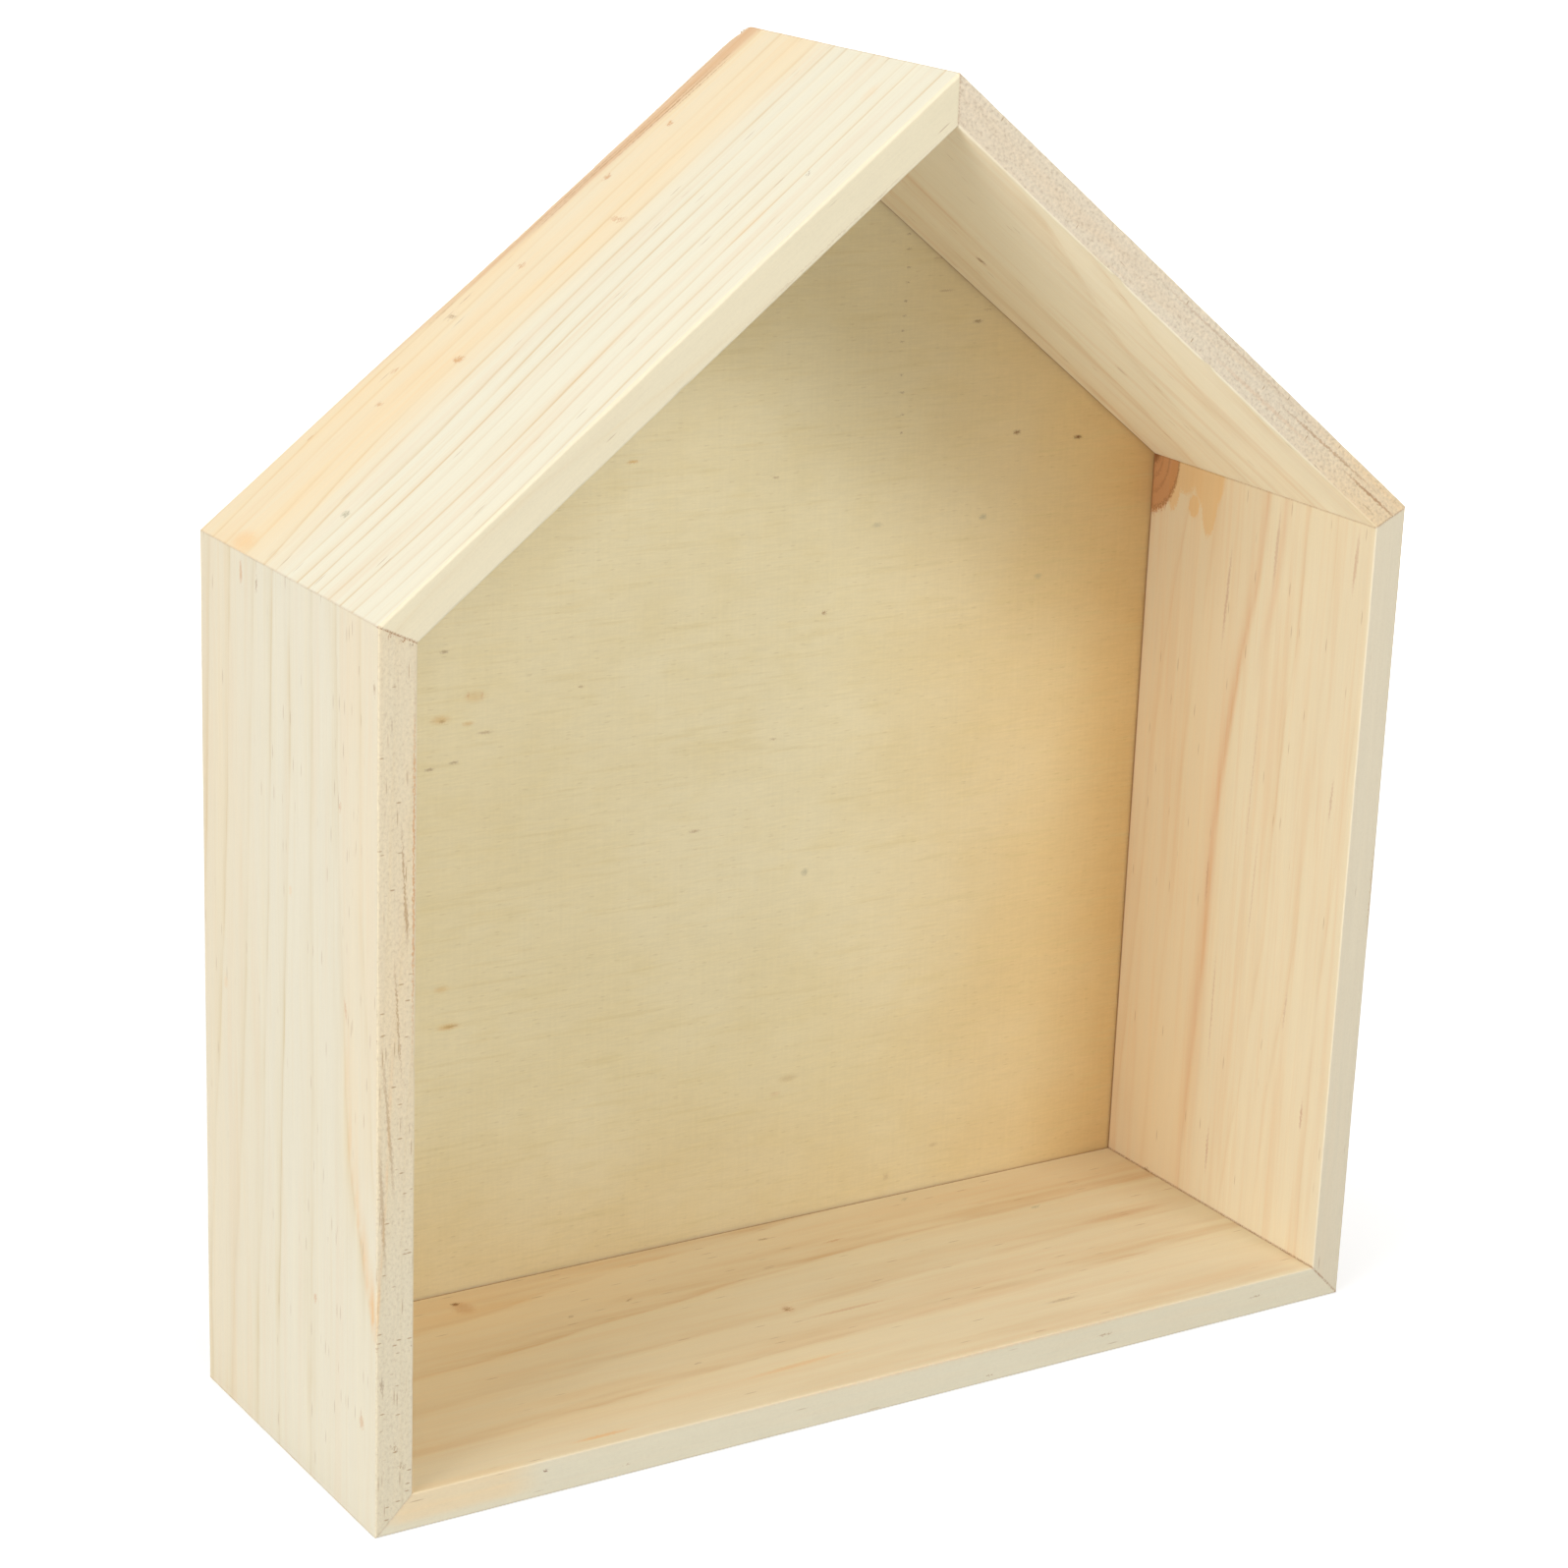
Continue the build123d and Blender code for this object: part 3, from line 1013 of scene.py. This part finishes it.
def pine_figure(nodes, look, late, noise_of):
    """The wood's colour with its latewood lines, streaks, bands, warm parts and painted shade deep in the
    shelf.
    """
    edge, figure = nodes.attribute("edge"), nodes.attribute("figure")
    streak, band, fibre, cloud = (noise_of[k] for k in ("streak", "band", "fibre", "cloud"))
    colour = nodes.mix(edge, linear(*look.wood), linear(*look.edge_wood))
    colour = nodes.mix(late, colour, linear(*look.late))
    faint = nodes.times(nodes.spread(streak, 0.5, 0.72, 0.0, look.streaks), figure)
    colour = nodes.mix(faint, colour, linear(*look.late))
    rosy = nodes.times(nodes.spread(band, 0.5, 0.68, 0.0, look.bands), figure)
    colour = nodes.mix(rosy, colour, tints["rosy"])
    pale = nodes.times(nodes.spread(band, 0.46, 0.3, 0.0, look.bands), figure)
    colour = nodes.mix(pale, colour, tints["pale"])
    # The wood's own warm tone, and on the floor, right wall and right roof also painted shade deep in the
    # shelf
    warm_and_depth_shade = nodes.times(nodes.attribute("warmth_and_depth_shade"), nodes.total((cloud, 0.9), (streak, 0.5)))
    colour = nodes.mix(warm_and_depth_shade, colour, tints["warm_and_depth_shade"])
    ruddy = nodes.times(nodes.attribute("blush"), nodes.total((streak, 0.9), (fibre, 0.9)))
    return nodes.mix(ruddy, colour, linear(*look.ruddy))


def pine_marks(nodes, place, look, colour, noise_of, rough):
    """The colour with dashes, saw ticks, knots and stains, arrises lightened by sanding wear and a painted
    highlight, stained mitres and the painted shade of the gap at the back panel.
    """
    streak, speckle, grit = (noise_of[k] for k in ("streak", "speckle", "grit"))
    dash = dashes(nodes, place, resin_cell, nodes.attribute("resin"))
    colour = nodes.mix(nodes.times(dash, 0.45), colour, tints["resin"])
    ticked = nodes.times(nodes.attribute("ticks"), nodes.attribute("edge"))
    tick = dashes(nodes, place, tick_cell, ticked)
    colour = nodes.mix(nodes.times(tick, 0.65), colour, tints["resin"])
    ragged = wandering(nodes, place, (0.25, 0.5, 0.5), (5.0, 1.4, 1.4))
    for tint, mask in mark_masks(nodes, ragged, look).items():
        colour = nodes.mix(mask, colour, tints[tint])
    # Arrises lightened, partly by sanding wear and partly as a painted highlight
    worn_and_highlight = nodes.times(nodes.attribute("arris"), nodes.total((streak, 0.3), (speckle, 0.2)))
    colour = nodes.mix(worn_and_highlight, colour, tints["worn_and_highlight"])
    pits = nodes.times(nodes.spread(grit, 0.46, 0.25, 0.0, 0.3), rough)
    colour = nodes.mix(pits, colour, tints["pit"])
    # Stained mitres and the painted shade of the gap at the back panel
    return nodes.mix(mitre_stain_and_gap_shade(nodes, place, speckle), colour, tints["mitre_stain_and_gap_shade"])


def pine(number, look):
    """Bare sanded pine: latewood lines, fibres, resin dashes, knots and stains."""
    nodes = Nodes(bpy.data.materials.new("pine_" + side_names[number]))
    place = nodes.attribute("board", "Vector")
    noise_of = noises(nodes, place, pine_noise, look.seed)
    fibre, streak, cloud = noise_of["fibre"], noise_of["streak"], noise_of["cloud"]
    speckle, grit = noise_of["speckle"], noise_of["grit"]
    rough = nodes.times(nodes.attribute("edge"), look.edge_rough)
    late = growth(nodes, place, look, fibre)
    colour = pine_figure(nodes, look, late, noise_of)
    colour = pine_marks(nodes, place, look, colour, noise_of, rough)

    mean_grain = 0.115
    grain = nodes.total((fibre, 0.08), (streak, 0.06), (speckle, 0.05), (cloud, 0.04))
    gritty = nodes.times(nodes.math("SUBTRACT", grit, 0.5), 0.5)
    grain = nodes.math("MULTIPLY_ADD", rough, gritty, grain)
    gloss = nodes.total((fibre, 0.16), (late, -0.1), (cloud, 0.1), (rough, 0.15))
    sawn = nodes.times(grit, nodes.math("MULTIPLY_ADD", rough, 3.2, 0.2))
    height = nodes.math("ADD", nodes.total((fibre, 0.6), (speckle, 0.25), (late, -0.4)), sawn)
    nodes.surface(
        Base_Color=nodes.brighten(colour, nodes.math("SUBTRACT", grain, mean_grain)),
        Roughness=nodes.math("ADD", gloss, bare_wood_roughness),
        Normal=nodes.bump(height, 0.06, 0.6),
        Specular_IOR_Level=bare_wood_specular,
    )
    return nodes.owner


def mitre_stain_and_gap_shade(nodes, place, speckle):
    """How dark the mitres are from their stained glue line and torn fibres, and the painted shade of the
    gap where the back panel meets the board.
    """
    at_mitre = nodes.spread(nodes.attribute("joint"), 0.5, 0.05)
    ragged = nodes.spread(speckle, 0.36, 0.6, 0.15, 1.0)
    at_mitre = nodes.times(at_mitre, nodes.times(ragged, nodes.attribute("stain")))
    parts = nodes.new("ShaderNodeSeparateXYZ", {0: place}).outputs
    ledge = depth - panel_thickness
    # Painted shade: a dark line on the board along the gap at the back panel
    gap_shade = nodes.spread(parts[1], ledge - 1.0, ledge - 0.5)
    inside = nodes.spread(parts[2], rim + 1, rim + 2, 0.0, 0.9)
    return nodes.math("MAXIMUM", at_mitre, nodes.times(gap_shade, inside))


# Marks on the back panel's front: across, up, length, breadth, tint, strength
panel_marks = [(53 + 0.6 * math.sin(7 * k), z, 1.8, 0.7, "knot", 0.5) for k, z in enumerate((
    290, 286, 281, 277, 272, 268, 264, 261, 252, 247, 241, 236,
))]
panel_marks += [
    (77, 265, 4, 1.2, "knot", 0.6),
    (66, 274, 7, 0.9, "resin", 0.35),
    (80, 268, 5, 0.8, "resin", 0.3),
    (63, 283, 5, 0.8, "resin", 0.3),
    (92, 233, 3.4, 1.8, "knot", 0.8),
    (113, 230, 4, 1.6, "knot", 0.95),
    (82, 210, 3.8, 2.4, "grey", 0.55),
    (102, 191, 4, 2.4, "grey", 0.4),
    (31, 188, 2.2, 1.6, "resin", 0.8),
    (28, 114, 3, 3.2, "grey", 0.5),
    (25, 53, 9, 3.2, "olive", 0.32),
    (21, 49, 5, 2.4, "rust", 0.18),
    (76, 23, 4, 2, "resin", 0.25),
    (60, 16, 3, 3, "resin", 0.25),
    (-84, 190, 3.4, 1.3, "knot", 0.5),
    (-75, 177, 9, 5, "amber", 0.35),
    (-77, 177.5, 1, 3, "rust", 0.45),
    (-73, 177, 1, 3.2, "rust", 0.4),
    (-85, 172, 8, 3.6, "amber", 0.5),
    (-84.5, 171.5, 2.4, 1.4, "resin", 0.5),
    (-77, 170, 5, 2, "amber", 0.5),
    (-72, 167, 6, 1.2, "resin", 0.45),
    (-88, 159, 4, 1.2, "knot", 0.5),
    (-81, 160, 3.6, 1.2, "knot", 0.5),
    (-82, 87, 9, 2.6, "amber", 0.6),
    (-81, 87, 6, 1, "resin", 0.5),
    (-84, 98, 6, 3, "amber", 0.4),
    (-30, 235, 5, 1.4, "amber", 0.8),
    (-44, 176, 2.4, 0.9, "resin", 0.6),
    (16, 154, 3, 0.9, "resin", 0.5),
    (-8, 131, 5, 1, "resin", 0.5),
    (47, 211, 5, 2, "grey", 0.4),
    (14, 227, 3, 0.8, "resin", 0.5),
]


# Noise of the plywood, as the pine's but across, in and up the panel
veneer_noise = {
    "fibre": ((5, 5, 0.45), 3, 0.6, 41),
    "streak": ((26, 5, 1.6), 3, 0.6, 42),
    "cloud": ((40, 9, 30), 3, 0.5, 43),
    "mottle": ((11, 9, 7), 2, 0.5, 47),
    "lathe": ((0.9, 5, 16), 2, 0.5, 44),
    "speckle": ((0.9, 0.9, 0.5), 2, 0.5, 45),
}


def object_place(nodes):
    """A point's own coordinates in millimetres."""
    metres = nodes.new("ShaderNodeTexCoord").outputs["Object"]
    return nodes.scaled(metres, (1 / MM, 1 / MM, 1 / MM))


def veneer_painted_shade(nodes, place, cloud):
    """How much painted shade and warm bounce light the veneer gets, to the right and low on its front, and
    how much more the part nearest the right wall gets."""
    across, inward, up = nodes.new("ShaderNodeSeparateXYZ", {0: place}).outputs
    painted_shade = nodes.math("MAXIMUM", nodes.spread(across, 20, 150), nodes.spread(up, 70, 0, 0.0, 0.4))
    painted_shade = nodes.times(painted_shade, nodes.spread(cloud, 0.2, 0.8, 0.7, 0.85))
    front_skin = panel_low.y / MM + 0.5
    painted_shade = nodes.times(painted_shade, nodes.spread(inward, front_skin + 1, front_skin, 0.3, 1.0))
    return painted_shade, nodes.times(painted_shade, nodes.spread(across, 105, 145, 0.0, 0.6))


def plywood():
    """The thin back: rotary-cut veneer with level fibres, faint clouds and specks, and painted shade
    towards the right wall and the floor.
    """
    nodes = Nodes(bpy.data.materials.new("plywood_back"))
    place = object_place(nodes)
    noise_of = noises(nodes, place, veneer_noise)
    fibre, streak, cloud, mottle, lathe, speckle = noise_of.values()
    colour = nodes.mix(nodes.spread(cloud, 0.3, 0.72), tints["veneer"], tints["veneer_cloud"])
    colour = nodes.mix(nodes.spread(mottle, 0.45, 0.75, 0.0, 0.3), colour, tints["veneer_mottle"])
    painted_shade, right_wall_shade = veneer_painted_shade(nodes, place, cloud)
    # Painted shade and warm bounce light on the panel's front, strongest by the right wall
    colour = nodes.mix(painted_shade, colour, tints["veneer_shade_tint"])
    colour = nodes.mix(right_wall_shade, colour, tints["veneer_right_wall_shade_tint"])
    colour = nodes.mix(nodes.spread(streak, 0.5, 0.76, 0.0, 0.3), colour, tints["veneer_streak"])
    pores = dashes(nodes, place, pore_cell, 0.22, 0.3)
    colour = nodes.mix(nodes.times(pores, 0.16), colour, tints["veneer_pore"])
    ragged = wandering(nodes, place, (0.5, 0.5, 0.7), (2.6, 0, 1.6))
    for x, z, length, breadth, tint, strength in panel_marks:
        centre = (x, panel_low.y / MM, z)
        mask = spot(nodes, ragged, centre, (length / 2, 1, breadth / 2), (0, 0, 0), strength, 0.1)
        colour = nodes.mix(mask, colour, tints[tint])

    mean_grain = 0.19
    weights = (fibre, 0.15), (streak, 0.08), (speckle, 0.06), (lathe, 0.06), (mottle, 0.03)
    grain = nodes.math("SUBTRACT", nodes.total(*weights), mean_grain)
    gloss = nodes.total((fibre, 0.2), (cloud, 0.1))
    nodes.surface(
        Base_Color=nodes.brighten(colour, grain),
        Roughness=nodes.math("ADD", gloss, bare_wood_roughness),
        Normal=nodes.bump(nodes.total((fibre, 0.7), (lathe, 0.3), (speckle, 0.3)), 0.05, 0.5),
        Specular_IOR_Level=bare_wood_specular,
    )
    return nodes.owner


def steel(name, colour, roughness, stain):
    """Plated steel: fine rolling lines, duller patches and a little stain."""
    nodes = Nodes(bpy.data.materials.new(name))
    place = object_place(nodes)
    rolled = nodes.noise(place, (1 / 6, 1 / 0.3, 1 / 0.3), 2, 0.5, 51)
    patch = nodes.noise(place, (1 / 3, 1 / 3, 1 / 3), 3, 0.6, 52)
    mean_grain = 0.11
    grain = nodes.math("SUBTRACT", nodes.total((rolled, 0.12), (patch, 0.1)), mean_grain)
    shade = nodes.mix(nodes.spread(patch, 0.45, 0.75, 0.0, stain), colour, tints["dull_steel"])
    nodes.surface(
        Base_Color=nodes.brighten(shade, grain),
        Roughness=nodes.math("ADD", nodes.total((patch, 0.25), (rolled, 0.1)), roughness),
        Normal=nodes.bump(nodes.total((rolled, 0.6), (patch, 0.5)), 0.02, 0.4),
        Metallic=1.0,
    )
    return nodes.owner


def dress(node, material):
    """Give a CAD node its material."""
    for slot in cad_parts[node].material_slots:
        slot.material = material


def make_boards():
    for number, name in enumerate(side_names):
        mesh = board_mesh(number, looks[number])
        mesh.materials.append(pine(number, looks[number]))
        board = bpy.data.objects.new(name + "_pine", mesh)
        bpy.context.scene.collection.objects.link(board)
        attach(board, "root")
        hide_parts(name)


def dress_nodes():
    dress("back_panel", plywood())
    wire = steel("zinc_wire", linear(188, 186, 180), 0.28, 0.35)
    dress("panel_staples", wire)
    dress("corner_staples", wire)
    plated = steel("plated_steel", linear(158, 153, 140), 0.32, 0.3)
    dress("ridge_hanger", plated)
    dress("hanger_nails", plated)


# The camera, from a fit to the corners of the shelf in the photograph

image_size = 1596
focal_pixels = 3853.1
centre_pixel = (871.9, 832.5)
fit_unit = 0.3
fit_shift = Vector((0.03316, 0.5147, 3.30847))
azimuth, elevation, roll = (math.radians(a) for a in (-33.489, 17.860, 2.512))


def make_camera():
    """The camera stands where the fit puts it, level with the fit's own axes."""
    level_reach = math.cos(elevation)
    back = Vector((
        math.sin(azimuth) * level_reach,
        -math.cos(azimuth) * level_reach,
        math.sin(elevation),
    ))
    level = (-back).cross(Vector((0, 0, 1))).normalized()
    upright = level.cross(-back)
    right = level * math.cos(roll) + upright * math.sin(roll)
    up = upright * math.cos(roll) - level * math.sin(roll)
    place = -(right * fit_shift.x - up * fit_shift.y - back * fit_shift.z) * fit_unit
    place.y += front
    data = bpy.data.cameras.new("camera")
    data.sensor_width = 36
    data.lens = focal_pixels / image_size * data.sensor_width
    data.shift_x = (image_size / 2 - centre_pixel[0]) / image_size
    data.shift_y = (centre_pixel[1] - image_size / 2) / image_size
    data.clip_end = 20
    camera = bpy.data.objects.new("camera", data)
    camera.matrix_world = Matrix.Translation(place) @ Matrix((right, up, back)).transposed().to_4x4()
    bpy.context.scene.collection.objects.link(camera)
    bpy.context.scene.camera = camera


# Lamps, floor and world


def lamp(name, place, size, energy):
    """A square soft lamp that faces the middle of the shelf."""
    data = bpy.data.lights.new(name, "AREA")
    data.size = size
    data.energy = energy
    light = bpy.data.objects.new(name, data)
    aim = Vector((0, 0, ridge / 2))
    light.location = place
    light.rotation_euler = (aim - Vector(place)).to_track_quat("-Z", "Y").to_euler()
    bpy.context.scene.collection.objects.link(light)


def make_lamps():
    lamp("key_lamp", (-0.16, -2.0, 1.55), 0.55, 10)
    lamp("second_key_lamp", (0.5, -1.9, 1.5), 0.55, 11.5)
    lamp("left_lamp", (-2.2, -0.1, 0.8), 0.9, 4)
    lamp("low_left_lamp", (-2.05, -0.75, 0.45), 0.9, 23)
    lamp("top_lamp", (-0.3, 0, 2.4), 1.0, 20)
    lamp("right_lamp", (1.5, -1.6, 0.9), 0.9, 4)
    lamp("rear_lamp", (0.6, 2.0, 0.4), 1.0, 15)


def camera_sees(nodes):
    """1 for the camera and for what shows in gloss or through glass."""
    path = nodes.new("ShaderNodeLightPath")
    seen = nodes.math("MAXIMUM", path.outputs["Is Camera Ray"], path.outputs["Is Glossy Ray"])
    return nodes.math("MAXIMUM", seen, path.outputs["Is Transmission Ray"])


ambient = 0.23
floor_half = 8.0
floor_colour = linear(214, 214, 214)
# The floor glows for the camera: less near the shelf, where its shadow lies
glow_start, glow_end = 0.3, 1.2
near_glow, far_glow = 0.5, 1.0


def make_world():
    """White where the camera sees it and a soft light everywhere else."""
    world = bpy.data.worlds.new("studio")
    bpy.context.scene.world = world
    nodes = Nodes(world)
    background = nodes.tree.nodes["Background"]
    nodes.put(background.inputs["Color"], (1, 1, 1, 1))
    nodes.put(background.inputs["Strength"], nodes.spread(camera_sees(nodes), 0, 1, ambient, 1.0))


def make_floor():
    """A wide pale floor that reads white and keeps the shelf's shadow."""
    mesh = bpy.data.meshes.new("floor")
    signs = ((-1, -1), (1, -1), (1, 1), (-1, 1))
    mesh.from_pydata([(x * floor_half, y * floor_half, 0) for x, y in signs], [], [(0, 1, 2, 3)])
    nodes = Nodes(bpy.data.materials.new("pale_floor"))
    place = nodes.new("ShaderNodeTexCoord").outputs["Object"]
    away = nodes.new("ShaderNodeVectorMath", {0: place}, operation="LENGTH").outputs["Value"]
    glow = nodes.spread(away, glow_start, glow_end, near_glow, far_glow)
    nodes.surface(
        Base_Color=floor_colour,
        Roughness=0.9,
        Specular_IOR_Level=0.1,
        Emission_Color=(1, 1, 1, 1),
        Emission_Strength=nodes.times(camera_sees(nodes), glow),
    )
    mesh.materials.append(nodes.owner)
    floor = bpy.data.objects.new("floor", mesh)
    bpy.context.scene.collection.objects.link(floor)


make_boards()
dress_nodes()
make_camera()
make_lamps()
make_world()
make_floor()
bpy.context.scene.view_settings.view_transform = "Standard"
